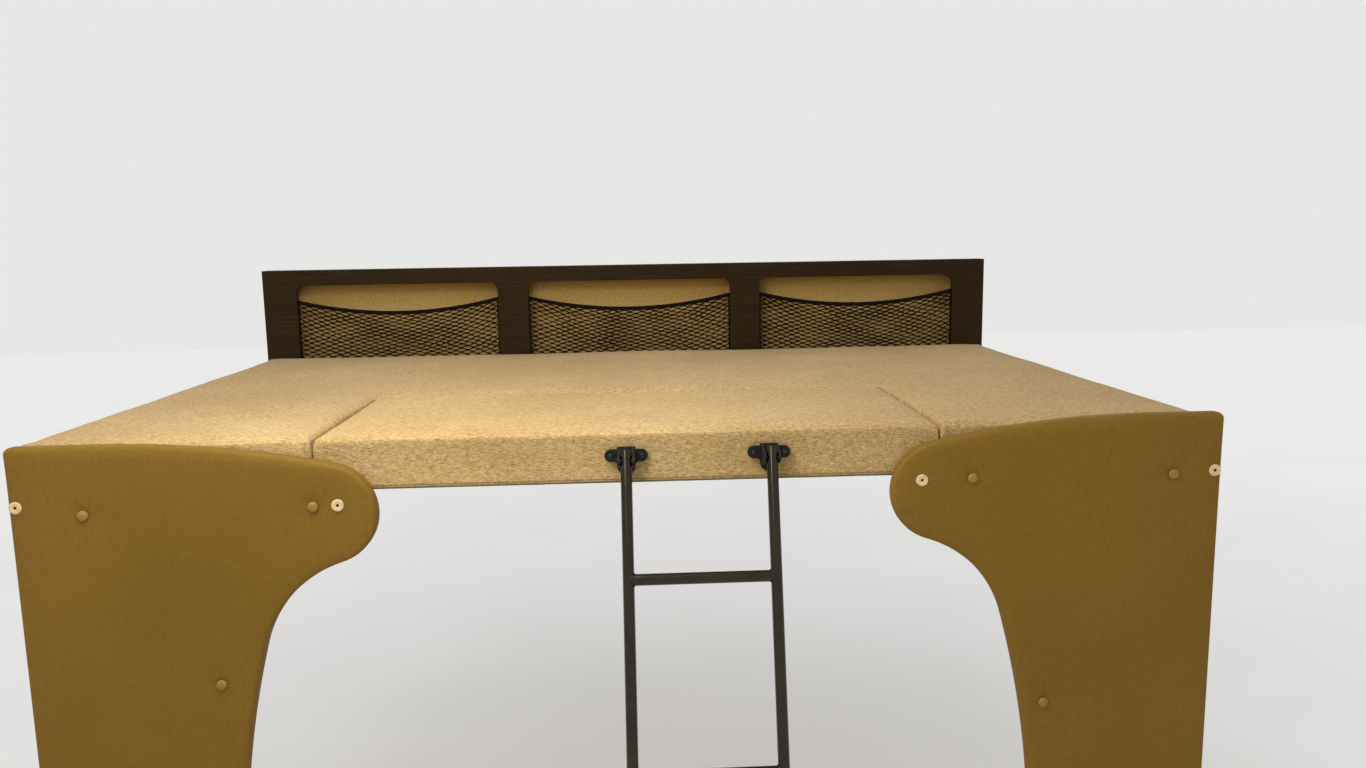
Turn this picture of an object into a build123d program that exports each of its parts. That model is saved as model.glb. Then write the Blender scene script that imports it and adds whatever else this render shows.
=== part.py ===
from build123d import *
from math import cos, radians, sin
import os

# A motorhome's over-cab bunk: a fixed sleeping deck with a lift-out centre panel, a pocket board at
# the nose, two padded wings beside the cab opening, and a ladder pinned to the centre panel.
# +X is the vehicle's right, +Y its nose, +Z up. The origin is on the underside of the deck's lining,
# at the middle of the section over the nose, where the bunk sits on the vehicle.

# Overall sizes and the places of the main planes, in millimetres.
BUNK_WIDTH = 2360.0
FRONT_TO_ORIGIN = 1020.0
FRONT_TO_POCKETS = 1424.0
FLOOR_BELOW_TOP = 1365.0
CUT_WIDTH = 1238.0
CUT_DEPTH = 545.0

# Layers of the deck, from the underside up.
LINING_THICK = 5.0
BEARER_HIGH = 38.0
DECK_THICK = 18.0
FOAM_THICK = 75.0

# Timber, fits and gaps.
BEARER_WIDE = 45.0
LEDGE_WIDE = 28.0
MIDDLE_BEARER_X = 393.0
SEAT_FIT = 0.3
LIFT_GAP = 5.0
MATTRESS_GAP = 3.0
BOLT_RADIUS = 4.5
BOLT_SPACING_Y = 800.0

# Mattress and centre cushion.
FOAM_TOP_RADIUS = 16.0
FOAM_CORNER_RADIUS = 30.0
FRONT_EDGE_RADIUS = 20.0
COVER_THICK = 6.0
RAIL_THICK = 18.0
RAIL_COVER = 10.0
RAIL_DROP = 11.0

# Pocket board, its openings and nets.
BOARD_RISE = 284.0
BOARD_THICK = 18.0
TOP_RAIL_HIGH = 49.0
END_STILE_WIDE = 105.0
DIVIDER_WIDE = 98.0
DIVIDER_X = 380.0
OPENING_BOTTOM = -10.0
OPENING_RADIUS = 25.0
POCKET_DEPTH = 45.0
BACK_THICK = 5.0
FRAME_SETBACK = 22.0
NET_THICK = 3.0
NET_SIDE_RISE = 188.0
NET_SAG = 40.0
BAND_WIDE = 11.0
BAND_THICK = 5.0

# Padded wings: the inner edge is one run of tangent arcs, a round nose above a hollow curve.
WING_THICK = 28.0
LEFT_WING_RISE = 1.0
RIGHT_WING_RISE = 13.0
LEFT_WING_FLAT = 168.0
RIGHT_WING_FLAT = 146.0
WALL_CORNER_RADIUS = 12.0
WING_DIP_RADIUS = 2070.0
WING_DIP_TURN = 12.3
NOSE_RADIUS = 100.5
NOSE_TURN = 150.7
HOLLOW_RADIUS = 236.5
HOLLOW_TURN = 57.2
EDGE_RADIUS = 2000.0
CORE_THICK = 12.0
RIM_THICK = 4.0
WING_EDGE_BEVEL = 6.0
BATTEN_SIZE = 30.0

# Curtain snaps and covered buttons on the wings: distance in from the wall, and distance below the
# mattress's top.
LEFT_SNAPS = ((16.0, 113.0), (616.0, 125.0))
RIGHT_SNAPS = ((16.0, 103.0), (608.0, 107.0))
LEFT_BUTTONS = ((138.0, 132.0), (569.0, 127.0), (370.0, 480.0))
RIGHT_BUTTONS = ((99.0, 109.0), (506.0, 106.0), (348.0, 581.0))
SNAP_RADIUS = 12.0
SNAP_THICK = 3.0
SNAP_BORE_RADIUS = 2.2
SNAP_BORE_DEPTH = 2.2
BUTTON_RADIUS = 10.5
BUTTON_THICK = 6.0
BUTTON_BEVEL = 3.5

# Ladder and its brackets.
TUBE_RADIUS = 11.1
TUBE_WALL = 1.5
LADDER_X = 132.0
RAIL_SPACING = 282.0
RAIL_TOP_BELOW_TOP = 26.0
RAIL_AHEAD = 12.0
LADDER_LEAN = 15.0
FIRST_RUNG = 249.0
RUNG_PITCH = 360.0
RUNG_COUNT = 3
CAP_THICK = 3.0
PLUG_DEPTH = 12.0
FOOT_RADIUS = 14.0
FOOT_LENGTH = 35.0
FOOT_SOCKET = 25.0
PIN_RADIUS = 4.0
PIN_FIT = 0.1
PIN_BELOW_TOP = 24.0
PIN_OVERHANG = 1.0
BRACKET_BELOW_TOP = 31.0
BRACKET_HIGH = 55.0
BRACKET_WIDE = 36.0
BRACKET_ROUND = 17.0
SHOULDER_RADIUS = 7.0
BRACKET_BASE = 8.0
CHEEK_THICK = 3.6
CHEEK_HIGH = 43.0
CHEEK_SPREAD = 32.0
CHEEK_RADIUS = 10.0
EAR_RADIUS = 12.0
EAR_SPACING = 61.0
EAR_BELOW_TOP = 17.0

# Main planes, worked out from the sizes above.
HALF_WIDTH = BUNK_WIDTH / 2
HALF_CUT = CUT_WIDTH / 2
Y_FRONT = -FRONT_TO_ORIGIN
Y_FRAME = Y_FRONT + WING_THICK + SEAT_FIT
Y_CUSHION = Y_FRONT + WING_THICK + LIFT_GAP
Y_CUT = Y_FRONT + CUT_DEPTH
Y_POCKETS = Y_FRONT + FRONT_TO_POCKETS
Y_NOSE = Y_POCKETS + BOARD_THICK + POCKET_DEPTH + BACK_THICK
Z_BEARER = LINING_THICK
Z_DECK = Z_BEARER + BEARER_HIGH
Z_FOAM = Z_DECK + DECK_THICK
Z_TOP = Z_FOAM + FOAM_THICK
Z_FLOOR = Z_TOP - FLOOR_BELOW_TOP

# Headings of an outline, in degrees.
UPWARDS = 90.0
QUARTER_TURN = 90.0

# The two sides of the vehicle: name and sign of X.
SIDES = (("left", -1), ("right", 1))

# What differs between the wings: name, sign of X, rise above the mattress, flat run along the top,
# snaps and buttons.
WINGS = (
    ("left", -1, LEFT_WING_RISE, LEFT_WING_FLAT, LEFT_SNAPS, LEFT_BUTTONS),
    ("right", 1, RIGHT_WING_RISE, RIGHT_WING_FLAT, RIGHT_SNAPS, RIGHT_BUTTONS),
)


def save(name, shape):
    export_step(shape, "parts/" + name + ".step")


def block(x_range, y_range, z_range):
    size = [high - low for low, high in (x_range, y_range, z_range)]
    middle = [(high + low) / 2 for low, high in (x_range, y_range, z_range)]
    return Pos(*middle) * Box(*size)


def sided(sign, inner, outer):
    return tuple(sorted((sign * inner, sign * outer)))


def slab_xz(sketch, y_low, thick):
    """A sketch drawn in X and Z, made into a slab that starts at y_low and runs towards +Y."""
    return Pos(0, y_low + thick, 0) * extrude(Plane.XZ * sketch, thick)


def bolt_holes():
    """Clearance holes through deck, bearers and lining, in line with the side bearers."""
    x = HALF_WIDTH - BEARER_WIDE / 2
    y = BOLT_SPACING_Y / 2
    hole = Cylinder(BOLT_RADIUS, 3 * Z_FOAM)
    return [Pos(sx * x, sy * y, 0) * hole for sx in (-1, 1) for sy in (-1, 1)]


def make_layers():
    """The deck boards and the lining under the bearers, each as a nose panel and two side strips."""
    # Name, bottom, thickness, half width of the cut-out and its back edge.
    layers = (
        ("deck", Z_DECK, DECK_THICK, HALF_CUT, Y_CUT),
        ("lining", 0.0, LINING_THICK, HALF_CUT - LEDGE_WIDE, Y_CUT - LEDGE_WIDE),
    )
    for name, z_low, thick, half_cut, y_back in layers:
        z_range = (z_low, z_low + thick)
        nose = block((-HALF_WIDTH, HALF_WIDTH), (y_back, Y_NOSE), z_range)
        save(name + "_nose", nose - bolt_holes())
        for side, sign in SIDES:
            strip = block(sided(sign, half_cut, HALF_WIDTH), (Y_FRAME, y_back), z_range)
            save(name + "_" + side, strip)


def make_bearers():
    z_range = (Z_BEARER, Z_DECK)
    y_front_back = Y_FRAME + BEARER_WIDE
    y_cross = Y_CUT - LEDGE_WIDE
    y_cross_back = y_cross + BEARER_WIDE
    y_nose_front = Y_NOSE - BEARER_WIDE
    x_side = HALF_WIDTH - BEARER_WIDE
    x_ledge = HALF_CUT - LEDGE_WIDE
    # Name, X range on the right-hand side, Y range.
    paired = (
        ("bearer_side", (x_side, HALF_WIDTH), (y_front_back, y_nose_front)),
        ("bearer_front", (x_ledge, HALF_WIDTH), (Y_FRAME, y_front_back)),
        ("bearer_ledge", (x_ledge, x_ledge + BEARER_WIDE), (y_front_back, y_cross)),
        ("bearer_middle", (MIDDLE_BEARER_X - BEARER_WIDE / 2, MIDDLE_BEARER_X + BEARER_WIDE / 2),
         (y_cross_back, y_nose_front)),
    )
    for name, x_range, y_range in paired:
        for side, sign in SIDES:
            bearer = block(sided(sign, *x_range), y_range, z_range)
            save(name + "_" + side, bearer - bolt_holes())
    save("bearer_cross", block((-x_side, x_side), (y_cross, y_cross_back), z_range))
    save("bearer_nose", block((-HALF_WIDTH, HALF_WIDTH), (y_nose_front, Y_NOSE), z_range))


def make_mattress():
    """The fixed mattress, one U-shaped cushion round the cut-out."""
    half = HALF_WIDTH - SEAT_FIT
    y_low = Y_FRONT + WING_THICK + MATTRESS_GAP
    y_high = Y_POCKETS - SEAT_FIT
    plan = Pos(0, (y_low + y_high) / 2) * RectangleRounded(2 * half, y_high - y_low, FOAM_CORNER_RADIUS)
    notch = Pos(0, y_low) * Rectangle(CUT_WIDTH, 2 * (Y_CUT - y_low))
    foam = Pos(0, 0, Z_FOAM + SEAT_FIT) * extrude(plan - notch, FOAM_THICK - SEAT_FIT)
    top = foam.faces().sort_by(Axis.Z)[-1]
    save("mattress", fillet(top.edges(), FOAM_TOP_RADIUS))


def make_centre_panel():
    """The lift-out panel: a ply board with a front rail, and a cushion that wraps over the rail."""
    half = HALF_CUT - LIFT_GAP
    y_back = Y_CUT - LIFT_GAP
    y_rail = Y_CUSHION + COVER_THICK
    y_board = y_rail + RAIL_THICK
    z_low = Z_DECK + SEAT_FIT
    z_board = z_low + DECK_THICK
    z_rail = Z_TOP - RAIL_COVER
    # Below the deck's level the rail and the cushion's flap stay between the ledges.
    dropped = (-(half - LEDGE_WIDE), half - LEDGE_WIDE)
    z_drop = (z_low - RAIL_DROP, z_low)
    rail = block((-half, half), (y_rail, y_board), (z_low, z_rail))
    save("panel_board", block((-half, half), (y_board, y_back), (z_low, z_board)))
    save("panel_rail", rail + block(dropped, (y_rail, y_board), z_drop))
    # The cushion's section, seen from the side, hooked over the rail.
    section = Polyline(
        (Y_CUSHION, z_low),
        (Y_CUSHION, Z_TOP),
        (y_back, Z_TOP),
        (y_back, z_board + SEAT_FIT),
        (y_board + SEAT_FIT, z_board + SEAT_FIT),
        (y_board + SEAT_FIT, z_rail + SEAT_FIT),
        (y_rail - SEAT_FIT, z_rail + SEAT_FIT),
        (y_rail - SEAT_FIT, z_low),
        close=True,
    )
    cushion = Pos(-half, 0, 0) * extrude(Plane.YZ * make_face(section), 2 * half)
    cushion += block(dropped, (Y_CUSHION, y_rail - SEAT_FIT), z_drop)
    top_edges = cushion.edges().filter_by(Axis.X).group_by(Axis.Z)[-1].sort_by(Axis.Y)
    cushion = fillet(top_edges[0], FRONT_EDGE_RADIUS)
    top_edges = cushion.edges().filter_by(Axis.X).group_by(Axis.Z)[-1].sort_by(Axis.Y)
    save("panel_cushion", fillet(top_edges[-1], FOAM_TOP_RADIUS))


def pocket_spans():
    """The X ranges of the three openings, from left to right."""
    outer = HALF_WIDTH - END_STILE_WIDE
    inner = DIVIDER_X - DIVIDER_WIDE / 2
    far = DIVIDER_X + DIVIDER_WIDE / 2
    return (("left", -outer, -far), ("centre", -inner, inner), ("right", far, outer))


def board_face():
    z_high = Z_TOP + BOARD_RISE
    return Pos(0, (Z_FOAM + z_high) / 2) * Rectangle(BUNK_WIDTH, z_high - Z_FOAM)


def make_pocket_board():
    """The board at the nose, with three openings whose upper corners are round, and its frame."""
    z_low = Z_TOP + OPENING_BOTTOM
    z_high = Z_TOP + BOARD_RISE - TOP_RAIL_HIGH
    face = board_face()
    frame = board_face()
    for _, x_low, x_high in pocket_spans():
        size = (x_high - x_low, z_high - z_low)
        opening = Pos((x_low + x_high) / 2, (z_low + z_high) / 2) * Rectangle(*size)
        face -= fillet(opening.vertices().group_by(Axis.Y)[-1], OPENING_RADIUS)
        frame -= offset(opening, FRAME_SETBACK, kind=Kind.INTERSECTION)
    y_frame = Y_POCKETS + BOARD_THICK
    save("pocket_board", slab_xz(face, Y_POCKETS, BOARD_THICK))
    save("pocket_frame", slab_xz(frame, y_frame, POCKET_DEPTH))
    save("pocket_back", slab_xz(board_face(), y_frame + POCKET_DEPTH, BACK_THICK))


def net_face(x_low, x_high, z_low, z_side):
    """A net's outline up to z_side at its ends, sagging in an arc between them."""
    sides = Polyline((x_low, z_side), (x_low, z_low), (x_high, z_low), (x_high, z_side))
    sag = ThreePointArc((x_high, z_side), ((x_low + x_high) / 2, z_side - NET_SAG), (x_low, z_side))
    return make_face([sides, sag])


def make_nets():
    """Three nets, each stretched across its opening, with a thicker elastic band along the top."""
    z_low = Z_TOP + OPENING_BOTTOM + SEAT_FIT
    z_side = Z_TOP + NET_SIDE_RISE
    y_middle = Y_POCKETS + BOARD_THICK / 2
    for name, x_left, x_right in pocket_spans():
        x_low = x_left + SEAT_FIT
        x_high = x_right - SEAT_FIT
        mesh = net_face(x_low, x_high, z_low, z_side - BAND_WIDE)
        band = net_face(x_low, x_high, z_low, z_side) - mesh
        net = slab_xz(mesh, y_middle - NET_THICK / 2, NET_THICK)
        save("net_" + name, net + slab_xz(band, y_middle - BAND_THICK / 2, BAND_THICK))


def trace(start, heading, steps):
    """A path of tangent runs. Each step is a radius and a left turn, or 0 and a straight length."""
    x, z = start
    edges = []
    for radius, amount in steps:
        if radius == 0:
            end = (x + amount * cos(radians(heading)), z + amount * sin(radians(heading)))
            edges.append(Line((x, z), end))
        else:
            side = 90 if amount > 0 else -90
            centre = (x + radius * cos(radians(heading + side)), z + radius * sin(radians(heading + side)))
            middle, end = [
                (centre[0] + radius * cos(radians(heading - side + turn)),
                 centre[1] + radius * sin(radians(heading - side + turn)))
                for turn in (amount / 2, amount)
            ]
            edges.append(ThreePointArc((x, z), middle, end))
            heading += amount
        x, z = end
    return edges, (x, z)


def wing_face(rise, flat, inset):
    """The right wing's outline, drawn from the wall along the top and down the inner edge."""
    start = (HALF_WIDTH - inset, Z_TOP + rise - WALL_CORNER_RADIUS)
    last_turn = WING_DIP_TURN + NOSE_TURN - HOLLOW_TURN - QUARTER_TURN
    steps = (
        (WALL_CORNER_RADIUS - inset, QUARTER_TURN),
        (0, flat - WALL_CORNER_RADIUS),
        (WING_DIP_RADIUS - inset, WING_DIP_TURN),
        (NOSE_RADIUS - inset, NOSE_TURN),
        (HOLLOW_RADIUS + inset, -HOLLOW_TURN),
        (EDGE_RADIUS + inset, -last_turn),
    )
    edges, end = trace(start, UPWARDS, steps)
    z_low = Z_FLOOR + inset
    closing = Polyline(end, (end[0], z_low), (HALF_WIDTH - inset, z_low), start)
    return make_face(edges + [closing])


def make_snap():
    bore = Cylinder(SNAP_BORE_RADIUS, SNAP_BORE_DEPTH)
    return Cylinder(SNAP_RADIUS, SNAP_THICK) - Pos(0, 0, (SNAP_THICK - SNAP_BORE_DEPTH) / 2) * bore


def make_button():
    button = Cylinder(BUTTON_RADIUS, BUTTON_THICK)
    return chamfer(button.faces().sort_by(Axis.Z)[-1].edges(), BUTTON_BEVEL)


def place_fittings(fitting, thick, sign, places):
    """Copies of a fitting on the front of a wing, facing the living area."""
    y = Y_FRONT - SEAT_FIT - thick / 2
    return Compound([
        Pos(sign * (HALF_WIDTH - inset), y, Z_TOP - drop) * Rot(X=90) * fitting
        for inset, drop in places
    ])


def make_wings():
    y_core = Y_FRONT + WING_THICK - CORE_THICK
    for side, sign, rise, flat, snaps, buttons in WINGS:
        cover = slab_xz(wing_face(rise, flat, 0), Y_FRONT, WING_THICK)
        cover = chamfer(cover.faces().sort_by(Axis.Y)[0].edges(), WING_EDGE_BEVEL)
        cover -= slab_xz(wing_face(rise, flat, RIM_THICK), y_core - SEAT_FIT, WING_THICK)
        core = slab_xz(wing_face(rise, flat, RIM_THICK + SEAT_FIT), y_core, CORE_THICK)
        if sign < 0:
            cover = mirror(cover, Plane.YZ)
            core = mirror(core, Plane.YZ)
        save("wing_cover_" + side, cover)
        save("wing_core_" + side, core)
        batten = block(sided(sign, HALF_WIDTH - BATTEN_SIZE, HALF_WIDTH),
                       (Y_FRAME, Y_FRAME + BATTEN_SIZE), (Z_FLOOR, 0))
        save("wing_batten_" + side, batten)
        save("wing_snaps_" + side, place_fittings(make_snap(), SNAP_THICK, sign, snaps))
        save("wing_buttons_" + side, place_fittings(make_button(), BUTTON_THICK, sign, buttons))


def ladder_place(x):
    """The top of a rail's centre line, with Z running up the leaning rail."""
    z_top = Z_TOP - RAIL_TOP_BELOW_TOP
    return Location((x, Y_FRONT - RAIL_AHEAD, z_top), (-LADDER_LEAN, 0, 0))


def rail_length():
    """From the top of the cap to the sole of the foot, whose front rim meets the floor."""
    drop = Z_TOP - RAIL_TOP_BELOW_TOP - Z_FLOOR - FOOT_RADIUS * sin(radians(LADDER_LEAN))
    return drop / cos(radians(LADDER_LEAN))


def upright(radius, z_low, z_high):
    return Pos(0, 0, (z_low + z_high) / 2) * Cylinder(radius, z_high - z_low)


def pin_place(x):
    """The hinge pin of a rail, across the rail and level with X."""
    return ladder_place(x) * Pos(0, 0, -PIN_BELOW_TOP) * Rot(Y=90)


def make_ladder():
    length = rail_length()
    z_tube = -length + FOOT_LENGTH - FOOT_SOCKET
    bore = TUBE_RADIUS - TUBE_WALL
    rail_x = {side: LADDER_X + sign * RAIL_SPACING / 2 for side, sign in SIDES}
    caps = []
    feet = []
    pins = []
    pin_length = CHEEK_SPREAD + 2 * PIN_OVERHANG
    for side, x in rail_x.items():
        place = ladder_place(x)
        tube = place * (upright(TUBE_RADIUS, z_tube, -CAP_THICK) - upright(bore, z_tube, -CAP_THICK))
        save("ladder_rail_" + side, tube - pin_place(x) * Cylinder(PIN_RADIUS + PIN_FIT, pin_length))
        cap = upright(TUBE_RADIUS, -CAP_THICK, 0) + upright(bore - SEAT_FIT, -PLUG_DEPTH, -CAP_THICK)
        caps.append(place * cap)
        foot = upright(FOOT_RADIUS, -length, -length + FOOT_LENGTH)
        foot -= upright(TUBE_RADIUS + SEAT_FIT, z_tube - SEAT_FIT, 0)
        feet.append(place * foot)
        pins.append(pin_place(x) * Cylinder(PIN_RADIUS, pin_length))
    save("ladder_caps", Compound(caps))
    save("ladder_feet", Compound(feet))
    save("ladder_pins", Compound(pins))
    for number in range(RUNG_COUNT):
        drop = FIRST_RUNG + number * RUNG_PITCH
        across = ladder_place(LADDER_X) * Pos(0, 0, -drop) * Rot(Y=90)
        rung = across * (Cylinder(TUBE_RADIUS, RAIL_SPACING) - Cylinder(bore, RAIL_SPACING))
        for x in rail_x.values():
            rung -= ladder_place(x) * upright(TUBE_RADIUS + SEAT_FIT, -length, 0)
        save("ladder_rung_" + str(number + 1), rung)


def make_brackets():
    """A plate with two screw ears, and two cheeks that hold the rail's pin between them."""
    y_plate = Y_CUSHION - SEAT_FIT
    z_high = Z_TOP - BRACKET_BELOW_TOP
    z_low = z_high - BRACKET_HIGH
    z_ears = z_high - EAR_BELOW_TOP
    y_root = y_plate - BRACKET_BASE / 2
    for side, sign in SIDES:
        x = LADDER_X + sign * RAIL_SPACING / 2
        pin = pin_place(x)
        pin_y, pin_z = pin.position.Y, pin.position.Z
        middle = Pos(x, (z_low + z_high) / 2) * Rectangle(BRACKET_WIDE, BRACKET_HIGH)
        middle = fillet(middle.vertices().group_by(Axis.Y)[0], BRACKET_ROUND)
        plate = middle + Pos(x, z_ears) * SlotCenterToCenter(EAR_SPACING, 2 * EAR_RADIUS)
        # The two inner corners under the ears are rounded.
        z_under = z_ears - EAR_RADIUS
        level = plate.vertices().filter_by_position(Axis.Y, z_under - SEAT_FIT, z_under + SEAT_FIT)
        shoulders = sorted(level, key=lambda corner: abs(corner.X - x))[:2]
        plate = fillet(shoulders, SHOULDER_RADIUS)
        bracket = slab_xz(plate, y_plate - BRACKET_BASE, BRACKET_BASE)
        root = Pos(y_root, z_high - CHEEK_HIGH / 2) * Rectangle(BRACKET_BASE, CHEEK_HIGH)
        tip = Pos(pin_y, pin_z) * Circle(CHEEK_RADIUS)
        cheek = extrude(Plane.YZ * make_hull(root.edges() + tip.edges()), CHEEK_THICK)
        for x_cheek in (x - CHEEK_SPREAD / 2, x + CHEEK_SPREAD / 2 - CHEEK_THICK):
            bracket += Pos(x_cheek, 0, 0) * cheek
        save("bracket_" + side, bracket - pin * Cylinder(PIN_RADIUS + PIN_FIT, 2 * BRACKET_WIDE))


make_layers()
make_bearers()
make_mattress()
make_centre_panel()
make_pocket_board()
make_nets()
make_wings()
make_ladder()
make_brackets()
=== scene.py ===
from math import atan2, cos, exp, hypot, pi, radians, sin, sqrt, tanh

import bmesh
import bpy
from mathutils import Matrix, Vector, noise
from mathutils.bvhtree import BVHTree
from mathutils.geometry import delaunay_2d_cdt


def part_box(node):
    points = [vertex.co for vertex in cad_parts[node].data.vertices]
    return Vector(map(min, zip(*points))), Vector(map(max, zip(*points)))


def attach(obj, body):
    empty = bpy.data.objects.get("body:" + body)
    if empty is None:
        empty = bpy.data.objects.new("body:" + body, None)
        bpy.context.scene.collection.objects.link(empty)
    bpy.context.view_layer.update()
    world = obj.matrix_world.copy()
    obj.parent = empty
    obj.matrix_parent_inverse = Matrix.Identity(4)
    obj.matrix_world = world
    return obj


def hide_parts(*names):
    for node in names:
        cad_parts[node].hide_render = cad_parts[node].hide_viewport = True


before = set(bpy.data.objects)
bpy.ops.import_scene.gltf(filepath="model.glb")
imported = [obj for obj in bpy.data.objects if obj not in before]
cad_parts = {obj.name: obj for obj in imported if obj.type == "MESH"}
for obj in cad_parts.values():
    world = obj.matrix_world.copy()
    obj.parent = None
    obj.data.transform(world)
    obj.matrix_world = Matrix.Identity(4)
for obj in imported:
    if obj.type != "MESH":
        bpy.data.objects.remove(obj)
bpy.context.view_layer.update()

# The camera's place and angles in the part's frame, in metres and degrees.
CAMERA_PLACE = (0.0117, -2.9532, 0.5142)
CAMERA_YAW = 2.7218
CAMERA_PITCH = 8.3231
CAMERA_ROLL = -0.9111
CAMERA_LENS = 26.84
SENSOR_WIDE = 36.0

# Levels of light that reach the part, and of the background that is seen.
FILL_LEVEL = 0.52
BACKGROUND = (0.80, 0.80, 0.79, 1)
FLOOR_HALF = 14.0

# Main planes of the bunk, in metres, as in the part's source.
HALF_WIDTH = 1.180
Y_FRONT = -1.020
Y_CUT = -0.475
Z_TOP = 0.136
Z_FLOOR = Z_TOP - 1.365
HALF_CUT = 0.619
HALF_FLAP = 0.586

# The wings' outline, as in the part's source.
WING_THICK = 0.028
WALL_CORNER = 0.012
DIP_RADIUS, DIP_TURN = 2.070, 12.3
NOSE_RADIUS, NOSE_TURN = 0.1005, 150.7
HOLLOW_RADIUS, HOLLOW_TURN = 0.2365, 57.2
EDGE_RADIUS, EDGE_TURN = 2.000, 15.8
RIM = 0.004
CORE_THICK = 0.012

# Name, sign of X, rise and flat run of the top, then snaps and buttons, each as
# (distance in from the wall, drop below the top).
WINGS = (
    ("left", -1, (0.001, 0.168), ((0.016, 0.113), (0.616, 0.125)),
     ((0.138, 0.132), (0.569, 0.127), (0.370, 0.480))),
    ("right", 1, (0.013, 0.146), ((0.016, 0.103), (0.608, 0.107)),
     ((0.099, 0.109), (0.506, 0.106), (0.348, 0.581))),
)

# The ladder, as in the part's source.
TUBE_RADIUS = 0.0111
LADDER_X = 0.132
RAIL_SPACING = 0.282
RAIL_TOP = (-1.032, 0.110)
LADDER_LEAN = 15.0
RUNG_DROPS = (0.249, 0.609, 0.969)
EAR_SPACING = 0.061
EAR_HEIGHT = 0.088
PLATE_THICK = 0.008

# The gap between a piece and what it is fitted to.
FIT = 0.0003


# Nodes, camera, light and floor.

def feed(tree, socket, value):
    if isinstance(value, bpy.types.NodeSocket):
        tree.links.new(value, socket)
    else:
        socket.default_value = value


def add_node(tree, kind, inputs=(), **settings):
    """A shader node, its inputs fed with values or with the outputs of other nodes."""
    node = tree.nodes.new("ShaderNode" + kind)
    for name, value in settings.items():
        setattr(node, name, value)
    for key, value in dict(inputs).items():
        feed(tree, node.inputs[key], value)
    return node


def link_object(name, data):
    made = bpy.data.objects.new(name, data)
    bpy.context.scene.collection.objects.link(made)
    return made


def make_camera():
    data = bpy.data.cameras.new("camera")
    data.sensor_width = SENSOR_WIDE
    data.lens = CAMERA_LENS
    data.clip_end = 50
    camera = link_object("camera", data)
    turn = (Matrix.Rotation(radians(CAMERA_ROLL), 3, "Y")
            @ Matrix.Rotation(radians(CAMERA_PITCH), 3, "X")
            @ Matrix.Rotation(radians(CAMERA_YAW), 3, "Z"))
    upright = Matrix.Rotation(radians(90), 3, "X")
    facing = (turn.transposed() @ upright).to_4x4()
    camera.matrix_world = Matrix.Translation(CAMERA_PLACE) @ facing
    bpy.context.scene.camera = camera


def add_light(kind, name, place, aim, power, **settings):
    """A lamp at its place, or a sun that shines from that side, turned towards its aim."""
    data = bpy.data.lights.new(name, kind)
    data.energy = power
    for key, value in settings.items():
        setattr(data, key, value)
    light = link_object(name, data)
    light.location = place
    light.rotation_euler = (Vector(aim) - Vector(place)).to_track_quat("-Z", "Y").to_euler()


def seen_rays(tree):
    """1 for a ray that shows the background: from the eye, in a mirror or through glass."""
    path = add_node(tree, "LightPath")
    seen = path.outputs["Is Camera Ray"]
    for name in ("Is Glossy Ray", "Is Transmission Ray"):
        larger = add_node(tree, "Math", {0: seen, 1: path.outputs[name]}, operation="MAXIMUM")
        seen = larger.outputs[0]
    return seen


def make_world():
    """White where a ray sees the background, and a soft grey fill for everything else."""
    world = bpy.data.worlds.new("world")
    bpy.context.scene.world = world
    world.use_nodes = True
    tree = world.node_tree
    tree.nodes.clear()
    fill = add_node(tree, "Background", {"Color": (1, 1, 1, 1), "Strength": FILL_LEVEL})
    seen = add_node(tree, "Background", {"Color": BACKGROUND})
    mix = add_node(tree, "MixShader",
                   {0: seen_rays(tree), 1: fill.outputs[0], 2: seen.outputs[0]})
    add_node(tree, "OutputWorld", {"Surface": mix.outputs[0]})


def make_floor():
    """A pale floor that hides nothing from below, and keeps the shadow."""
    corners = [(x * FLOOR_HALF, y * FLOOR_HALF, Z_FLOOR)
               for x, y in ((-1, -1), (1, -1), (1, 1), (-1, 1))]
    floor = mesh_object("floor", corners, [(0, 1, 2, 3)])
    if floor.data.polygons[0].normal.z < 0:
        floor.data.flip_normals()
    look = Look("floor", (232, 231, 229), roughness=0.9, specular_ior_level=0.1)
    look.paint(look.noise(1.5, 3), (0.3, (230, 229, 227)), (0.7, (235, 234, 232)))
    look.bump(look.noise(220), 0.15, 0.0006)
    # Lifted for the eye alone to the background's level, more where no lamp reaches.
    away = look.add("VectorMath", {0: look.place}, operation="LENGTH").outputs["Value"]
    lift = look.math("MULTIPLY", seen_rays(look.tree), look.spread(away, 1.5, 6.5, 0.20, 0.325))
    glow = look.add("Emission", {"Strength": lift})
    lifted = look.add("AddShader", {0: look.shader.outputs[0], 1: glow.outputs[0]})
    see_through = look.add("BsdfTransparent")
    behind = look.add("NewGeometry").outputs["Backfacing"]
    mix = look.add("MixShader", {0: behind, 1: lifted.outputs[0], 2: see_through.outputs[0]})
    feed(look.tree, look.output.inputs["Surface"], mix.outputs[0])
    floor.data.materials.append(look.material)


# Meshes.

def mesh_object(name, points, faces, smooth=True):
    mesh = bpy.data.meshes.new(name)
    mesh.from_pydata([tuple(p) for p in points], [], faces)
    mesh.validate()
    shell = bmesh.new()
    shell.from_mesh(mesh)
    bmesh.ops.recalc_face_normals(shell, faces=shell.faces)
    shell.to_mesh(mesh)
    shell.free()
    mesh.update()
    if smooth:
        mesh.polygons.foreach_set("use_smooth", [True] * len(mesh.polygons))
    return link_object(name, mesh)


def join_meshes(parts):
    points, faces = [], []
    for more_points, more_faces in parts:
        base = len(points)
        points.extend(more_points)
        faces.extend([tuple(base + i for i in face) for face in more_faces])
    return points, faces


def dress(piece, body, slot, material, *nodes):
    """Gives a finished piece its body and material, and hides the CAD nodes that it stands for;
    the slot is not used.
    """
    piece.data.materials.clear()
    piece.data.materials.append(materials[material])
    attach(piece, body)
    if nodes:
        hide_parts(*nodes)


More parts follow.
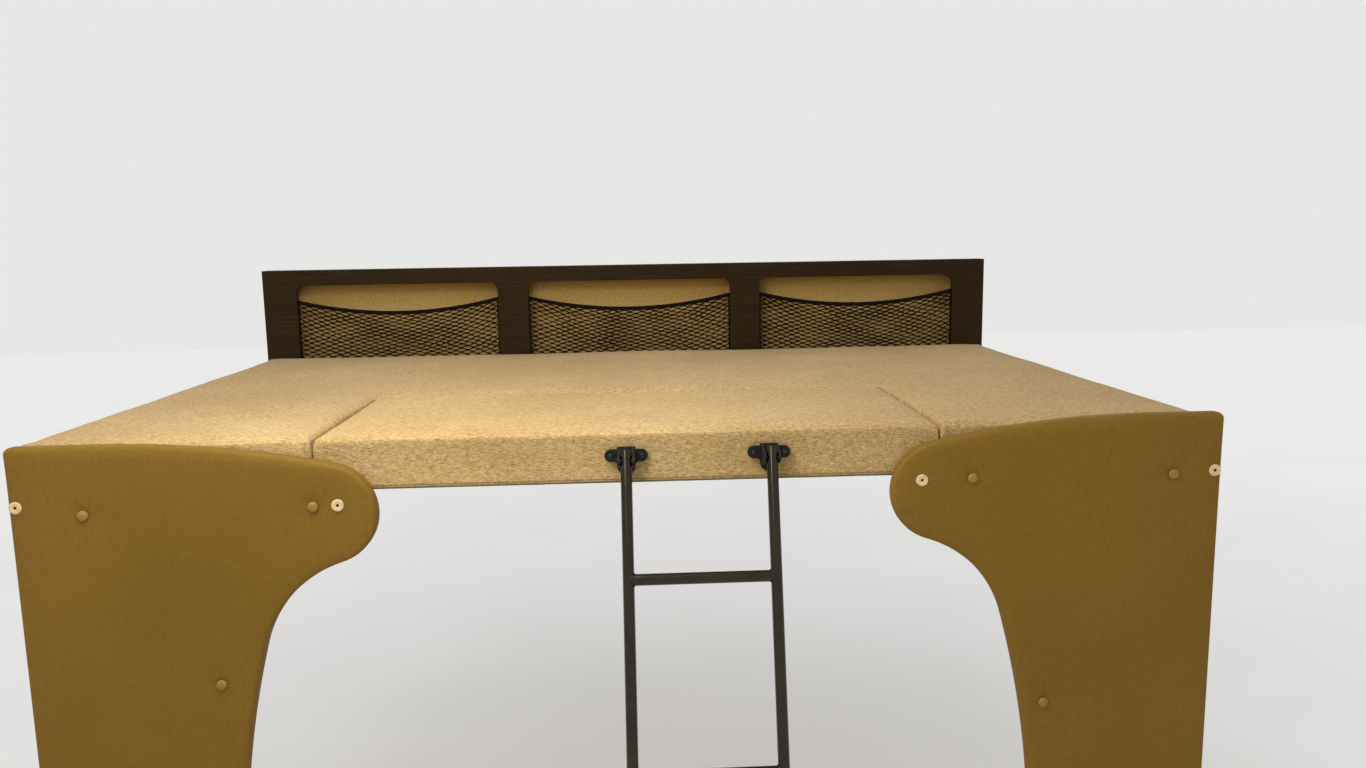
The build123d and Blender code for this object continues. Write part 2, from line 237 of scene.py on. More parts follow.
def add_piece(name, parts, *wear):
    """Joins meshes into one piece and dresses it."""
    piece = mesh_object(name, *join_meshes(parts))
    dress(piece, *wear)
    return piece


# How far in from an edge the lines of a grid are close together.
FINE_LINES = (0.0, 0.003, 0.007, 0.012, 0.020)


def grid_lines(low, high, step, breaks=()):
    """Ordered places from low to high, close together beside both ends and each break."""
    edges = sorted({low, high, *breaks})
    lines = set()
    for start, end in zip(edges, edges[1:]):
        inner = [offset for offset in FINE_LINES if offset < (end - start) / 2 - 0.004]
        lines.update(start + offset for offset in inner)
        lines.update(end - offset for offset in inner)
        first, last = start + inner[-1], end - inner[-1]
        count = max(1, round((last - first) / step))
        lines.update(first + (last - first) * k / count for k in range(1, count))
    apart = []
    for value in sorted(lines):
        if not apart or value - apart[-1] > 1e-5:
            apart.append(value)
    return apart


# For each way out of a cell, the four corners of that side, seen from outside.
CELL_SIDES = (
    ((-1, 0, 0), ((0, 0, 0), (0, 0, 1), (0, 1, 1), (0, 1, 0))),
    ((1, 0, 0), ((1, 0, 0), (1, 1, 0), (1, 1, 1), (1, 0, 1))),
    ((0, -1, 0), ((0, 0, 0), (1, 0, 0), (1, 0, 1), (0, 0, 1))),
    ((0, 1, 0), ((0, 1, 0), (0, 1, 1), (1, 1, 1), (1, 1, 0))),
    ((0, 0, -1), ((0, 0, 0), (0, 1, 0), (1, 1, 0), (1, 0, 0))),
    ((0, 0, 1), ((0, 0, 1), (1, 0, 1), (1, 1, 1), (0, 1, 1))),
)


def grid_solid(xs, ys, zs, inside):
    """The closed skin of the grid's cells that are inside, as points and quads."""
    index, points, faces = {}, [], []

    def corner(i, j, k):
        key = (i, j, k)
        if key not in index:
            index[key] = len(points)
            points.append(Vector((xs[i], ys[j], zs[k])))
        return index[key]

    filled = set()
    for i, x in enumerate(zip(xs, xs[1:])):
        for j, y in enumerate(zip(ys, ys[1:])):
            for k, z in enumerate(zip(zs, zs[1:])):
                if inside(sum(x) / 2, sum(y) / 2, sum(z) / 2):
                    filled.add((i, j, k))
    for i, j, k in sorted(filled):
        for (di, dj, dk), corners in CELL_SIDES:
            if (i + di, j + dj, k + dk) not in filled:
                faces.append(tuple(corner(i + a, j + b, k + c) for a, b, c in corners))
    return points, faces


def round_off(point, shares, radii):
    """Moves a point of a box's edge on to its round. The shares are how far, from -1 to 1, the
    point lies out along each axis of the round, which is a cube's corner mapped on to a ball."""
    u, v, w = shares
    for axis, (a, b, c) in enumerate(((u, v, w), (v, u, w), (w, u, v))):
        pulled = a * sqrt(max(0.0, 1 - b * b / 2 - c * c / 2 + b * b * c * c / 3))
        point[axis] += radii[axis] * (pulled - a)


def circle(count):
    """The cosines and sines of evenly spaced angles."""
    return [(cos(2 * pi * k / count), sin(2 * pi * k / count)) for k in range(count)]


def lathe(profile, place, count):
    """A turned piece that faces the living area. The profile is (radius, height out of the face),
    and closes where it starts and ends at 0."""
    turn = Vector((0, -1, 0)).to_track_quat("Z", "X").to_matrix()
    points, rings, faces = [], [], []
    for radius, height in profile:
        around = circle(count) if radius > 1e-6 else [(0, 0)]
        rings.append(list(range(len(points), len(points) + len(around))))
        points.extend(Vector(place) + turn @ Vector((radius * c, radius * s, height))
                      for c, s in around)
    for lower, upper in zip(rings, rings[1:]):
        for k in range(count):
            quad = (lower[k % len(lower)], lower[(k + 1) % len(lower)],
                    upper[(k + 1) % len(upper)], upper[k % len(upper)])
            face = tuple(dict.fromkeys(quad))
            if len(face) > 2:
                faces.append(face)
    return points, faces


def sweep(path, sections, closed=False):
    """A tube: each section is a ring of points given as offsets from its point of the path."""
    count = len(sections[0])
    points = [Vector(p) + Vector(offset) for p, ring in zip(path, sections) for offset in ring]
    faces = []
    last = len(path) if closed else len(path) - 1
    for i in range(last):
        j = (i + 1) % len(path)
        for k in range(count):
            m = (k + 1) % count
            faces.append((i * count + k, i * count + m, j * count + m, j * count + k))
    if not closed:
        faces.append(tuple(range(count - 1, -1, -1)))
        faces.append(tuple(range((len(path) - 1) * count, len(path) * count)))
    return points, faces


def subdivide(piece):
    """One level of subdivision, applied."""
    modifier = piece.modifiers.new("smooth", "SUBSURF")
    modifier.levels = 1
    modifier.render_levels = 1
    depsgraph = bpy.context.evaluated_depsgraph_get()
    mesh = bpy.data.meshes.new_from_object(piece.evaluated_get(depsgraph))
    piece.modifiers.clear()
    piece.data = mesh


CLOTH_FRAMES = 20
CLOTH = {
    "quality": 6, "mass": 0.3, "tension_stiffness": 25, "compression_stiffness": 25,
    "shear_stiffness": 8, "bending_stiffness": 1.5, "use_pressure": True,
    "vertex_group_mass": "held", "pin_stiffness": 1,
}


def inflate(piece, held, pressure, cap, shrink=0.0):
    """Lets the cloth of a pad swell against its held points, no point by more than the cap."""
    mesh = piece.data
    group = piece.vertex_groups.new(name="held")
    group.add([vertex.index for vertex in mesh.vertices if held(vertex.co)], 1.0, "REPLACE")
    rest = [vertex.co.copy() for vertex in mesh.vertices]
    modifier = piece.modifiers.new("cloth", "CLOTH")
    for name, value in CLOTH.items():
        setattr(modifier.settings, name, value)
    modifier.settings.uniform_pressure_force = pressure
    modifier.settings.shrink_min = shrink
    modifier.settings.effector_weights.gravity = 0
    modifier.collision_settings.use_collision = False
    modifier.point_cache.frame_start = 1
    modifier.point_cache.frame_end = CLOTH_FRAMES
    scene = bpy.context.scene
    for number in range(1, CLOTH_FRAMES + 1):
        scene.frame_set(number)
    swollen = piece.evaluated_get(bpy.context.evaluated_depsgraph_get()).to_mesh()
    moved = [vertex.co.copy() for vertex in swollen.vertices]
    piece.modifiers.clear()
    piece.vertex_groups.clear()
    scene.frame_set(1)
    for vertex, old, new in zip(mesh.vertices, rest, moved):
        step = new - old
        if step.length > 1e-7:
            vertex.co = old + step * (cap * tanh(step.length / cap) / step.length)


# Materials.

def linear(colour):
    """An sRGB colour in 0 to 255 as a linear one with alpha."""
    return tuple((c / 255 / 12.92 if c < 10.3 else ((c / 255 + 0.055) / 1.055) ** 2.4)
                 for c in colour) + (1.0,)


class Look:
    """A Principled material built from procedural nodes in object coordinates."""

    def __init__(self, name, colour, roughness, **sockets):
        self.material = bpy.data.materials.new(name)
        self.material.use_nodes = True
        self.tree = self.material.node_tree
        self.tree.nodes.clear()
        self.shader = self.add("BsdfPrincipled")
        self.output = self.add("OutputMaterial", {"Surface": self.shader.outputs[0]})
        self.place = self.add("TexCoord").outputs["Object"]
        self.set("Base Color", linear(colour))
        self.set("Roughness", roughness)
        for socket, value in sockets.items():
            self.set(socket.replace("_", " ").title().replace("Ior", "IOR"), value)

    def add(self, kind, inputs=(), **settings):
        return add_node(self.tree, kind, inputs, **settings)

    def set(self, name, value):
        feed(self.tree, self.shader.inputs[name], value)

    def noise(self, scale, detail=2, rough=0.5, distortion=0.0, place=None):
        """Noise at one scale, or stretched by one scale for each axis."""
        place = place or self.place
        if isinstance(scale, tuple):
            stretched = self.add("VectorMath", {0: place, 1: scale}, operation="MULTIPLY")
            place, scale = stretched.outputs[0], 1.0
        return self.add("TexNoise", {"Vector": place, "Scale": scale, "Detail": detail,
                                     "Roughness": rough, "Distortion": distortion}).outputs[0]

    def axis(self, number, source=None):
        return self.add("SeparateXYZ", {0: source or self.place}).outputs[number]

    def normal_axis(self, number):
        return self.axis(number, self.add("TexCoord").outputs["Normal"])

    def math(self, operation, first, second=0.0):
        return self.add("Math", {0: first, 1: second}, operation=operation).outputs[0]

    def total(self, *parts):
        """The sum of values, each on its own or as (value, factor)."""
        values = [self.math("MULTIPLY", *part) if isinstance(part, tuple) else part
                  for part in parts]
        whole = values[0]
        for value in values[1:]:
            whole = self.math("ADD", whole, value)
        return whole

    def wave(self, source, pitch, drift=None):
        """A sine along one coordinate, with the given pitch in metres."""
        phase = self.math("MULTIPLY", source, 2 * pi / pitch)
        if drift is not None:
            phase = self.math("ADD", phase, drift)
        return self.math("SINE", phase)

    def ribs(self, pitch, scale, drift):
        """Uneven ribs across X."""
        return self.wave(self.axis(0), pitch, self.math("MULTIPLY", self.noise(scale), drift))

    def ramp(self, value, *stops):
        node = self.add("ValToRGB", {0: value})
        elements = node.color_ramp.elements
        while len(elements) < len(stops):
            elements.new(0.5)
        for element, (position, colour) in zip(elements, stops):
            element.position = position
            element.color = linear(colour)
        return node.outputs[0]

    def spread(self, value, low, high, to_low=0.0, to_high=1.0):
        return self.add("MapRange", {"Value": value, "From Min": low, "From Max": high,
                                     "To Min": to_low, "To Max": to_high}).outputs[0]

    def mix(self, factor, first, second, blend="MIX"):
        colours = [value if isinstance(value, bpy.types.NodeSocket) else linear(value)
                   for value in (first, second)]
        return self.add("Mix", {0: factor, 6: colours[0], 7: colours[1]},
                        data_type="RGBA", blend_type=blend).outputs[2]

    def paint(self, value, *stops):
        self.set("Base Color", self.ramp(value, *stops))

    def shade(self, colour, scale, darker, lighter):
        """Sets the colour, under slow patches of two shades."""
        patches = self.ramp(self.noise(scale, 3), (0.3, darker), (0.7, lighter))
        self.set("Base Color", self.mix(1.0, colour, patches, "MULTIPLY"))

    def wear(self, value, low, high):
        """Lets the roughness follow a noise, from low to high."""
        self.set("Roughness", self.spread(value, 0.3, 0.7, low, high))

    def bump(self, height, strength, distance):
        """Sets the relief, and gives the material back."""
        node = self.add("Bump", {"Height": height, "Strength": strength, "Distance": distance})
        self.set("Normal", node.outputs[0])
        return self.material

    def unwrapped(self):
        """Two coordinates along the cloth, on faces that look along any axis."""
        x, y, z = [self.axis(number) for number in range(3)]
        sideways = self.math("GREATER_THAN", self.math("ABSOLUTE", self.normal_axis(0)), 0.7)
        flat = self.math("SUBTRACT", 1.0, sideways)
        return self.total((x, flat), (y, sideways)), self.total(z, (y, flat))

    def yarns(self, across, along, run, seed):
        """A tone for each yarn of the tweed, which changes slowly along the yarn."""
        number = self.math("FLOOR", self.math("DIVIDE", across, YARN_PITCH))
        place = self.add("CombineXYZ", {0: self.math("MULTIPLY", number, 3.7),
                                        1: self.math("DIVIDE", along, run), 2: seed})
        return self.noise(1.0, 2, 0.6, place=place.outputs[0])

    def woven(self, pitch, drift):
        """The height of a plain weave, on faces that look along any axis."""
        drift = self.math("MULTIPLY", self.noise(30), drift)
        x, y, z = [self.wave(self.axis(number), pitch, drift) for number in range(3)]
        return self.total((x, y), (x, z), (y, z))


YARN_PITCH = 0.0020
TWEED_TONES = ((0.30, (140, 110, 66)), (0.42, (178, 146, 94)), (0.50, (196, 163, 108)),
               (0.58, (208, 177, 122)), (0.70, (226, 198, 146)))
# Dark flecks and pale slubs: length along the yarn, seed, strength and colour.
TWEED_SPECKS = ((0.0045, 9.0, 0.60, (112, 88, 58)), (0.010, 13.0, 0.5, (228, 203, 150)))
VINYL_TONES = ((129, 97, 31), (136, 103, 36), (143, 109, 42))
# The buttons' tones: the wing's vinyl painted lighter, a painted highlight on the domed buttons.
BUTTON_PAINTED_HIGHLIGHT_TONES = ((153, 122, 60), (160, 129, 66), (167, 136, 73))
PLY_PITCH = 0.0018


def tweed_look():
    """A linen weave of uneven yarns, mostly seen as its weft: cream and tan, with specks."""
    look = Look("tweed", (194, 161, 106), 0.92, sheen_weight=0.1, sheen_roughness=0.5,
                specular_ior_level=0.12)
    along, across = look.unwrapped()
    across = look.total(across, (look.noise(12), 0.0014))
    weft = look.yarns(across, along, 0.012, 1.0)
    warp = look.yarns(along, across, 0.009, 5.0)
    colour = look.ramp(look.total((weft, 0.72), (warp, 0.28)), *TWEED_TONES)
    for run, seed, strength, tone in TWEED_SPECKS:
        specks = look.spread(look.yarns(across, along, run, seed), 0.62, 0.70)
        colour = look.mix(look.math("MULTIPLY", specks, strength), colour, tone)
    look.shade(colour, 3.2, (238, 233, 224), (255, 255, 255))
    ridges = look.math("ABSOLUTE", look.wave(across, 2 * YARN_PITCH))
    return look.bump(look.total(ridges, (weft, 0.5)), 0.16, 0.0004)


def vinyl_look(name, tones):
    """Woven-grain vinyl in three close tones."""
    look = Look(name, tones[1], 0.58, specular_ior_level=0.14)
    grain = look.total((look.noise((420, 420, 60), 3), 0.6), (look.noise((60, 420, 420), 3), 0.4))
    colour = look.ramp(grain, *zip((0.34, 0.5, 0.66), tones))
    look.shade(colour, 2.4, (238, 236, 226), (255, 252, 250))
    look.wear(look.noise(14, 3), 0.52, 0.66)
    height = look.total((grain, 1.2), (look.woven(0.0018, 4.0), 0.3))
    return look.bump(height, 0.35, 0.0004)


def board_look():
    look = Look("dark_board", (43, 31, 14), 0.5, specular_ior_level=0.06)
    grain = look.noise((6, 260, 260), 5, 0.65, 0.4)
    look.paint(grain, (0.30, (36, 25, 11)), (0.52, (49, 36, 18)), (0.72, (61, 46, 25)))
    look.wear(look.noise(9, 4), 0.42, 0.56)
    return look.bump(grain, 0.25, 0.0004)


def net_look():
    look = Look("net_strand", (27, 18, 11), 0.9, specular_ior_level=0.06)
    braid = look.noise((900, 900, 1400))
    look.paint(braid, (0.35, (19, 12, 7)), (0.65, (36, 25, 15)))
    return look.bump(braid, 0.6, 0.0005)


def band_look():
    look = Look("net_band", (18, 14, 11), 0.85, specular_ior_level=0.08)
    look.paint(look.noise(350), (0.3, (13, 10, 8)), (0.7, (27, 22, 17)))
    return look.bump(look.ribs(0.0022, 40, 6.0), 0.5, 0.0004)


def wall_cloth_look():
    """Cloth towards the bed, darker in its upper part as painted shade under the board's top rail
    and lighter lower down as painted light, and bare hardboard on the back.
    """
    look = Look("wall_cloth", (152, 122, 66), 0.95, sheen_weight=0.15)
    threads = look.total((look.noise((110, 700, 700)), 0.5), (look.noise((700, 700, 110)), 0.5))
    # Painted shade in the upper tones and painted light in the lower ones: the cloth goes from the
    # first to the second downwards.
    upper, lower = [look.ramp(threads, *zip((0.38, 0.5, 0.62), tones)) for tones in (
        ((154, 119, 55), (180, 143, 74), (200, 165, 96)),
        ((190, 152, 84), (214, 176, 106), (232, 196, 128)))]
    cloth = look.mix(look.spread(look.axis(2), 0.32, 0.25), upper, lower)
    fibres = look.ramp(look.noise(260, 4), (0.3, (112, 80, 50)), (0.7, (142, 106, 70)))
    behind = look.spread(look.normal_axis(1), 0.2, 0.6)
    look.set("Base Color", look.mix(behind, cloth, fibres))
    height = look.total(threads, (look.woven(0.0016, 3.0), 0.1))
    return look.bump(height, 0.5, 0.0006)


def lining_look():
    look = Look("lining", (182, 160, 120), 0.95, sheen_weight=0.3, sheen_roughness=0.6)
    nap = look.noise(420, 3, 0.7)
    look.paint(nap, (0.32, (160, 138, 100)), (0.5, (182, 160, 120)), (0.7, (200, 180, 142)))
    height = look.total((look.ribs(0.0035, 60, 5.0), 0.15), nap)
    return look.bump(height, 0.5, 0.0008)


def ply_look(name, thick_axis, edge_start):
    """Birch faces with long grain, and edges that show the layers across the thickness."""
    look = Look(name, (205, 176, 130), 0.6)
    face = look.noise((5, 60, 60) if thick_axis == 2 else (60, 60, 5), 5, distortion=1.2)
    veneer = look.ramp(face, (0.32, (186, 152, 104)), (0.5, (205, 176, 130)),
                       (0.7, (220, 194, 150)))
    depth = look.math("SUBTRACT", look.axis(thick_axis), edge_start)
    layer = look.math("GREATER_THAN", look.wave(depth, 2 * PLY_PITCH))
    fibres = look.noise((300, 300, 300), 3)
    light = look.ramp(fibres, (0.3, (196, 162, 112)), (0.7, (216, 186, 138)))
    dark = look.ramp(fibres, (0.3, (128, 92, 56)), (0.7, (158, 120, 78)))
    flat = look.math("ABSOLUTE", look.normal_axis(thick_axis))
    look.set("Base Color",
             look.mix(look.spread(flat, 0.5, 0.7), look.mix(layer, light, dark), veneer))
    return look.bump(look.total(face, (layer, 0.1)), 0.3, 0.0005)


def timber_look(name, stretch):
    look = Look(name, (208, 176, 128), 0.65)
    rings = look.noise(stretch, 4, 0.6, 1.5)
    pale = look.ramp(rings, (0.34, (178, 138, 86)), (0.46, (204, 170, 120)),
                     (0.6, (218, 190, 144)))
    cells = look.add("TexVoronoi", {"Vector": look.place, "Scale": 5.0}).outputs["Distance"]
    knots = look.math("MULTIPLY", look.spread(cells, 0.035, 0.02), 0.8)
    look.set("Base Color", look.mix(knots, pale, (112, 72, 40)))
    return look.bump(rings, 0.35, 0.0006)


def ladder_look():
    look = Look("ladder_metal", (50, 44, 31), 0.22, metallic=1.0, coat_weight=0.35,
                coat_roughness=0.06)
    look.paint(look.noise(35, 3), (0.3, (45, 39, 27)), (0.7, (55, 48, 35)))
    look.wear(look.noise(28, 3), 0.18, 0.27)
    return look.bump(look.noise(520), 0.12, 0.0004)


def plastic_look(name, colour, roughness, scale=900, strength=0.3, level=0.5):
    look = Look(name, colour, roughness, specular_ior_level=level)
    grain = look.noise(scale)
    look.paint(look.noise(60, 3), (0.3, tuple(c * 0.86 for c in colour)), (0.7, colour))
    look.wear(grain, roughness - 0.06, roughness + 0.08)
    return look.bump(grain, strength, 0.0003)


def steel_look(name, colour):
    look = Look(name, colour, 0.35, metallic=1.0)
    drawn = look.noise((60, 900, 900), 3)
    look.paint(drawn, (0.3, tuple(c * 0.75 for c in colour)), (0.7, colour))
    look.wear(drawn, 0.28, 0.45)
    return look.bump(drawn, 0.15, 0.0002)


materials = {
    "tweed": tweed_look(),
    "vinyl": vinyl_look("wing_vinyl", VINYL_TONES),
    "button_vinyl_painted_highlight": vinyl_look("button_vinyl_painted_highlight", BUTTON_PAINTED_HIGHLIGHT_TONES),
    "board": board_look(),
    "net": net_look(),
    "band": band_look(),
    "wall": wall_cloth_look(),
    "lining": lining_look(),
    "deck_ply": ply_look("deck_ply", 2, 0.043),
    "core_ply": ply_look("core_ply", 1, -1.004),
    "timber_x": timber_look("timber_x", (3, 70, 70)),
    "timber_y": timber_look("timber_y", (70, 3, 70)),
    "timber_z": timber_look("timber_z", (70, 70, 3)),
    "ladder": ladder_look(),
    "plastic": plastic_look("black_plastic", (33, 30, 26), 0.58, level=0.2),
    "rubber": plastic_look("rubber", (40, 40, 40), 0.85, 300, 0.4),
    "socket": plastic_look("snap_socket", (66, 46, 28), 0.6, level=0.1),
    "cream": plastic_look("snap_cream", (247, 216, 157), 0.35, 700, 0.1),
    "zinc": steel_look("staple_steel", (150, 148, 144)),
    "dark_steel": steel_look("dark_steel", (78, 75, 70)),
    "hem": plastic_look("hem_binding", (112, 101, 70), 0.9, 500, 0.6),
    # The thread is darker than the cloth: partly its own colour, partly painted shade for the
    # crease along the hem.
    "thread": plastic_look("thread", (124, 100, 62), 0.9, 900, 0.5),
}

# The materials of CAD nodes that stay, by the start of the nodes' names.
NODE_MATERIALS = {
    "deck_ply": ("deck_", "panel_board"),
    "core_ply": ("wing_core_",),
    "lining": ("lining_",),
    "timber_x": ("bearer_cross", "bearer_nose", "bearer_front_", "panel_rail"),
    "timber_y": ("bearer_side_", "bearer_ledge_", "bearer_middle_"),
    "timber_z": ("wing_batten_",),
    "board": ("pocket_board", "pocket_frame"),
    "wall": ("pocket_back",),
    "ladder": ("ladder_rail_", "ladder_rung_"),
    "plastic": ("ladder_caps", "bracket_"),
    "rubber": ("ladder_feet",),
    "dark_steel": ("ladder_pins",),
}


def dress_nodes():
    for name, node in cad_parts.items():
        for key, starts in NODE_MATERIALS.items():
            if name.startswith(starts):
                node.data.materials.clear()
                node.data.materials.append(materials[key])


# Mattress and centre cushion.

PAD_ROUND = 0.013
REAR_ROUND = 0.010
SEAM_ROUND = 0.006
TUCK_ROUND = 0.004
SEAM_BULGE = 0.0018
TUCK_DEPTH = 0.0035
PAD_STEP = 0.026
CROWN = 0.004
CROWN_REACH = 0.05
CROWN_SINK = 0.002
CROWN_WAVE = 0.003
PAD_PRESSURE = 3.0
PAD_CAP = 0.004
PAD_SHRINK = -0.01


def near(away, reach):
    """1 on a face, falling to 0 at its reach."""
    return max(0.0, 1 - away / reach)


def crown(x, y, edge, seed):
    """The uneven swell of a pad's top, by the distance in from its edges."""
    wave = CROWN_WAVE * noise.noise(Vector((x * 3.5, y * 3.5, seed)))
    return CROWN * (1 - exp(-edge / CROWN_REACH)) - CROWN_SINK + wave


def make_mattress():
    low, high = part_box("mattress")
    xs = grid_lines(low.x, high.x, PAD_STEP, breaks=(-HALF_CUT, HALF_CUT))
    ys = grid_lines(low.y, high.y, PAD_STEP, breaks=(Y_CUT,))
    zs = [low.z, low.z + 0.007, low.z + 0.020]
    zs += [high.z - drop for drop in (0.034, 0.020, 0.012, 0.007, 0.003, 0.0)]
    points, faces = grid_solid(xs, ys, zs, lambda x, y, z: abs(x) > HALF_CUT or y > Y_CUT)
    for point in points:
        x, y, z = point
        side = 1 if x > 0 else -1
        leg = abs(x) >= HALF_CUT
        radius_x = radius_y = PAD_ROUND
        u = side * near(high.x - abs(x), PAD_ROUND)
        v = -near(y - low.y, PAD_ROUND) if leg else 0.0
        w = near(high.z - z, PAD_ROUND) - near(z - low.z, PAD_ROUND)
        if high.y - y < REAR_ROUND:
            radius_y = REAR_ROUND
            v = near(high.y - y, REAR_ROUND)
        if leg and y <= Y_CUT:
            inward = abs(x) - HALF_CUT
            if inward < SEAM_ROUND:
                radius_x = SEAM_ROUND
                u = -side * near(inward, SEAM_ROUND)
        elif not leg:
            inward = y - Y_CUT
            if inward < TUCK_ROUND:
                radius_y = TUCK_ROUND
                v = -near(inward, TUCK_ROUND)
        else:
            inward = hypot(abs(x) - HALF_CUT, y - Y_CUT)
            if inward < SEAM_ROUND:
                radius_x = radius_y = SEAM_ROUND
                angle = atan2(y - Y_CUT, abs(x) - HALF_CUT) if inward > 1e-6 else pi / 4
                u = -side * near(inward, SEAM_ROUND) * cos(angle)
                v = -near(inward, SEAM_ROUND) * sin(angle)
        round_off(point, (u, v, w), (radius_x, radius_y, PAD_ROUND))
        if inward < 1e-6 and z > low.z + 0.015:
            if leg and y < Y_CUT:
                point.x -= side * SEAM_BULGE
            elif not leg:
                point.y -= SEAM_BULGE
        if z > high.z - 0.001:
            edge = min(high.x - abs(x), y - low.y if leg else 1.0,
                       2 * max(0.0, inward) + (0.03 if leg else 0.01))
            point.z += crown(x, y, edge, 0.0)
            if not leg:
                point.z -= TUCK_DEPTH * exp(-inward / 0.02)
    mattress = mesh_object("mattress_cloth", points, faces)
    inflate(mattress, lambda p: p.z < low.z + 0.03, PAD_PRESSURE, PAD_CAP, PAD_SHRINK)
    subdivide(mattress)
    dress(mattress, "bunk", "tweed", "tweed", "mattress")


def make_centre_cushion():
    low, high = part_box("panel_cushion")
    board_low, board_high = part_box("panel_board")
    rail_low, rail_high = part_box("panel_rail")
    y_flap = rail_low.y - FIT
    y_back_rail = rail_high.y + FIT
    z_deck = board_low.z
    z_board = board_high.z + FIT
    z_rail = rail_high.z + FIT
    z_middle = (z_board + z_rail) / 2
    xs = grid_lines(low.x, high.x, PAD_STEP, breaks=(-HALF_FLAP, HALF_FLAP))
    ys = sorted({low.y, y_flap, y_back_rail, *grid_lines(y_back_rail, high.y, PAD_STEP),
                 low.y + 0.0095, low.y + PAD_ROUND})
    zs = sorted({low.z, low.z + 0.005, z_deck, z_board, z_middle - 0.012, z_middle + 0.012,
                 z_rail - 0.008, z_rail, high.z - 0.0055, high.z - 0.0025, high.z})

    def inside(x, y, z):
        if z < z_deck and abs(x) > HALF_FLAP:
            return False
        return z > z_rail or y < y_flap or (y > y_back_rail and z > z_board)

    points, faces = grid_solid(xs, ys, zs, inside)
    for point in points:
        x, y, z = point
        side = 1 if x > 0 else -1
        ends = high.x - abs(x)
        front = y - low.y
        if z >= z_rail - 1e-6:
            u = side * near(ends, SEAM_ROUND)
            radius_y, v = PAD_ROUND, -near(front, PAD_ROUND)
            if high.y - y < SEAM_ROUND:
                radius_y, v = SEAM_ROUND, near(high.y - y, SEAM_ROUND)
            w = near(high.z - z, PAD_ROUND)
            round_off(point, (u, v, w), (SEAM_ROUND, radius_y, PAD_ROUND))
        if z > z_board + 0.015:
            if ends < 1e-6:
                point.x += side * SEAM_BULGE
            if high.y - y < 1e-6:
                point.y += SEAM_BULGE
        if z > high.z - 0.001:
            edge = min(0.03 + 2 * ends, 0.07 + 2 * (high.y - y), front)
            point.z += crown(x, y, max(edge, 0.0), 4.0)
    cushion = mesh_object("centre_cushion", points, faces)

    def held(p):
        return (p.y > y_flap - 0.001 and p.z < z_rail + 0.001) or p.z < low.z + 0.013

    inflate(cushion, held, PAD_PRESSURE, PAD_CAP, PAD_SHRINK)
    subdivide(cushion)
    dress(cushion, "centre_panel", "tweed", "tweed", "panel_cushion")
    return cushion


# Along a stitch: share of its length, rise and size, in radii of the thread.
STITCH = ((0.0, -0.5, 0.5), (0.15, 0.5, 1.0), (0.5, 0.9, 1.1), (0.85, 0.5, 1.0), (1.0, -0.5, 0.5))
HEM_PITCH = 0.0056
HEM_STITCH = 0.0044
HEM_THREAD = 0.0008
HEM_RISE = 0.0075
BINDING_STEPS = 120


def stitch(start, end, out, radius):
    """One stitch: a thread that rises out of the cloth and goes back in."""
    out = Vector(out)
    across = (end - start).normalized().cross(out).normalized()
    path, rings = [], []
    for share, rise, size in STITCH:
        path.append(start.lerp(end, share) + out * rise * radius)
        rings.append([(across * c + out * s) * radius * size for c, s in circle(6)])
    return sweep(path, rings)


def make_hem(cushion):
    """The stitched hem along the centre cushion's lower front edge, and its rolled binding."""
    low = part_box("panel_cushion")[0]
    skin = BVHTree.FromObject(cushion, bpy.context.evaluated_depsgraph_get())
    stitches = []
    z = low.z + HEM_RISE
    for k in range(int((2 * HALF_FLAP - 0.02) / HEM_PITCH)):
        ends = []
        for offset in (0.0, HEM_STITCH):
            x = 0.01 - HALF_FLAP + k * HEM_PITCH + offset
            hit = skin.ray_cast(Vector((x, low.y - 0.05, z)), Vector((0, 1, 0)))[0]
            ends.append(hit or Vector((x, low.y, z)))
        stitches.append(stitch(*ends, (0, -1, 0), HEM_THREAD))
    # The stitches' darker thread partly stands in for the crease along the hem, as painted shade.
    add_piece("hem_stitches", stitches, "centre_panel", "tweed", "thread")
    path = []
    for k in range(BINDING_STEPS + 1):
        x = (HALF_FLAP - 0.001) * (2 * k / BINDING_STEPS - 1)
        wobble = 0.0004 * noise.noise(Vector((x * 30, 0, 7)))
        path.append((x, low.y + 0.003, low.z + 0.0022 + wobble))
    rings = [[(0, 0.0036 * c, 0.0026 * s) for c, s in circle(10)]] * len(path)
    add_piece("hem_binding", [sweep(path, rings)], "centre_panel", "tweed", "hem")


# Wings.

